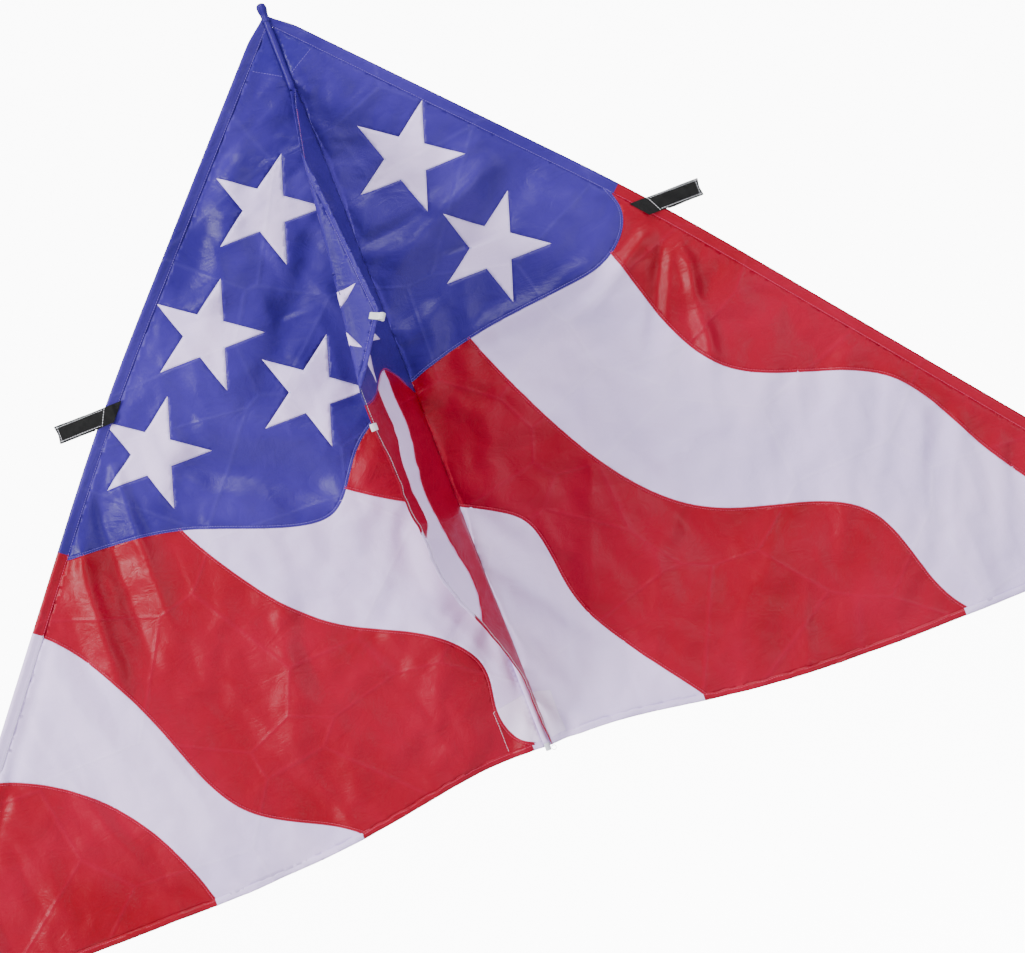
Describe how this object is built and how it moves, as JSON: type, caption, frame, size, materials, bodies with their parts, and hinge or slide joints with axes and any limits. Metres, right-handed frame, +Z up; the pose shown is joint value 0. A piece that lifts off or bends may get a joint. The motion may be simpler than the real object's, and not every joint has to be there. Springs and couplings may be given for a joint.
{
  "type": "delta kite",
  "caption": "Single-line delta kite with a pieced sail of stars and wavy stripes, a sewn keel with two tow loops and a take-apart cross spar.",
  "frame": {"origin": "centre of the eye of the upper tow loop, with the keel corner folded as shown", "axes": "+X across the span to the flyer's right, +Y away from the flyer, through the sail to its back, +Z up the spine to the nose"},
  "size_m": [2.2825, 0.3102, 1.3653],
  "materials": {
    "blue_cloth": "satin",
    "red_cloth": "satin",
    "white_cloth": "satin",
    "black_webbing": "matte",
    "white_tape": "matte",
    "spar": "satin",
    "ferrule": "satin",
    "cap": "matte"
  },
  "bodies": {
    "spine": {"spine_rod": "spar", "spine_sleeve": "blue_cloth", "nose_cap": "cap", "tail_cap": "cap", "tail_loop": "white_tape"},
    "left_wing": {"left_canton": "blue_cloth", "left_edge_cap_lower": "cap", "left_edge_cap_upper": "cap", "left_edge_rod": "spar", "left_edge_sleeve": "blue_cloth", "left_nose_patch": "blue_cloth", "left_red_centre": "red_cloth", "left_red_middle": "red_cloth", "left_red_tip": "red_cloth", "left_spreader_pocket": "black_webbing", "left_star_1": "white_cloth", "left_star_2": "white_cloth", "left_star_3": "white_cloth", "left_star_4": "white_cloth", "left_tail_patch": "white_cloth", "left_trailing_hem": "red_cloth", "left_white_inner": "white_cloth", "left_white_outer": "white_cloth"},
    "right_wing": {"right_canton": "blue_cloth", "right_edge_cap_lower": "cap", "right_edge_cap_upper": "cap", "right_edge_rod": "spar", "right_edge_sleeve": "blue_cloth", "right_nose_patch": "blue_cloth", "right_red_centre": "red_cloth", "right_red_edge": "red_cloth", "right_spreader_pocket": "black_webbing", "right_star_1": "white_cloth", "right_star_2": "white_cloth", "right_tail_patch": "white_cloth", "right_trailing_hem": "red_cloth", "right_white_inner": "white_cloth", "right_white_outer": "white_cloth"},
    "keel": {"keel_blue": "blue_cloth", "keel_hem_front": "red_cloth", "keel_hem_top": "blue_cloth", "keel_red_front": "red_cloth", "keel_red_rear": "red_cloth", "keel_star": "white_cloth", "keel_white": "white_cloth", "tow_loop_lower": "white_tape"},
    "keel_corner": {"keel_corner_cloth": "blue_cloth", "keel_corner_hem": "blue_cloth", "keel_corner_star": "white_cloth", "tow_loop_upper": "white_tape"},
    "spreader_left": {"spreader_left_rod": "spar", "spreader_left_cap": "cap", "ferrule": "ferrule"},
    "spreader_right": {"spreader_right_rod": "spar", "spreader_right_cap": "cap"}
  },
  "joints": [
    {"name": "left_wing_fold", "type": "hinge", "parent": "spine", "child": "left_wing", "pos_m": [-0.00605, 0.24213, -0.09468], "axis": [0, 0, -1], "range_deg": [0, 75]},
    {"name": "right_wing_fold", "type": "hinge", "parent": "spine", "child": "right_wing", "pos_m": [-0.00605, 0.24213, -0.09468], "axis": [0, 0, 1], "range_deg": [0, 75]},
    {"name": "spreader_release", "type": "slide", "parent": "spine", "child": "spreader_left", "axis": [0, 1, 0], "range_m": [0, 0.73], "deforming": ["left_spreader_pocket", "right_spreader_pocket"]},
    {"name": "spreader_pull_apart", "type": "slide", "parent": "spreader_left", "child": "spreader_right", "axis": [1, 0, 0], "range_m": [0, 0.08]},
    {"name": "keel_swing", "type": "hinge", "parent": "spine", "child": "keel", "pos_m": [-0.00605, 0.24213, -0.09468], "axis": [0, 0, 1], "range_deg": [-61.5, 73.5]},
    {"name": "keel_corner_unfold", "type": "hinge", "parent": "keel", "child": "keel_corner", "pos_m": [-0.02699, 0.15491, 0.31532], "axis": [-0.1005, -0.4186, -0.9026], "range_deg": [0, 95]}
  ],
  "couplings": [
    {"joint": "right_wing_fold", "follows": "left_wing_fold", "ratio": 1},
    {"joint": "spreader_release", "follows": "left_wing_fold", "m_per_rad": 0.55},
    {"joint": "spreader_pull_apart", "follows": "left_wing_fold", "m_per_rad": 0.055}
  ]
}
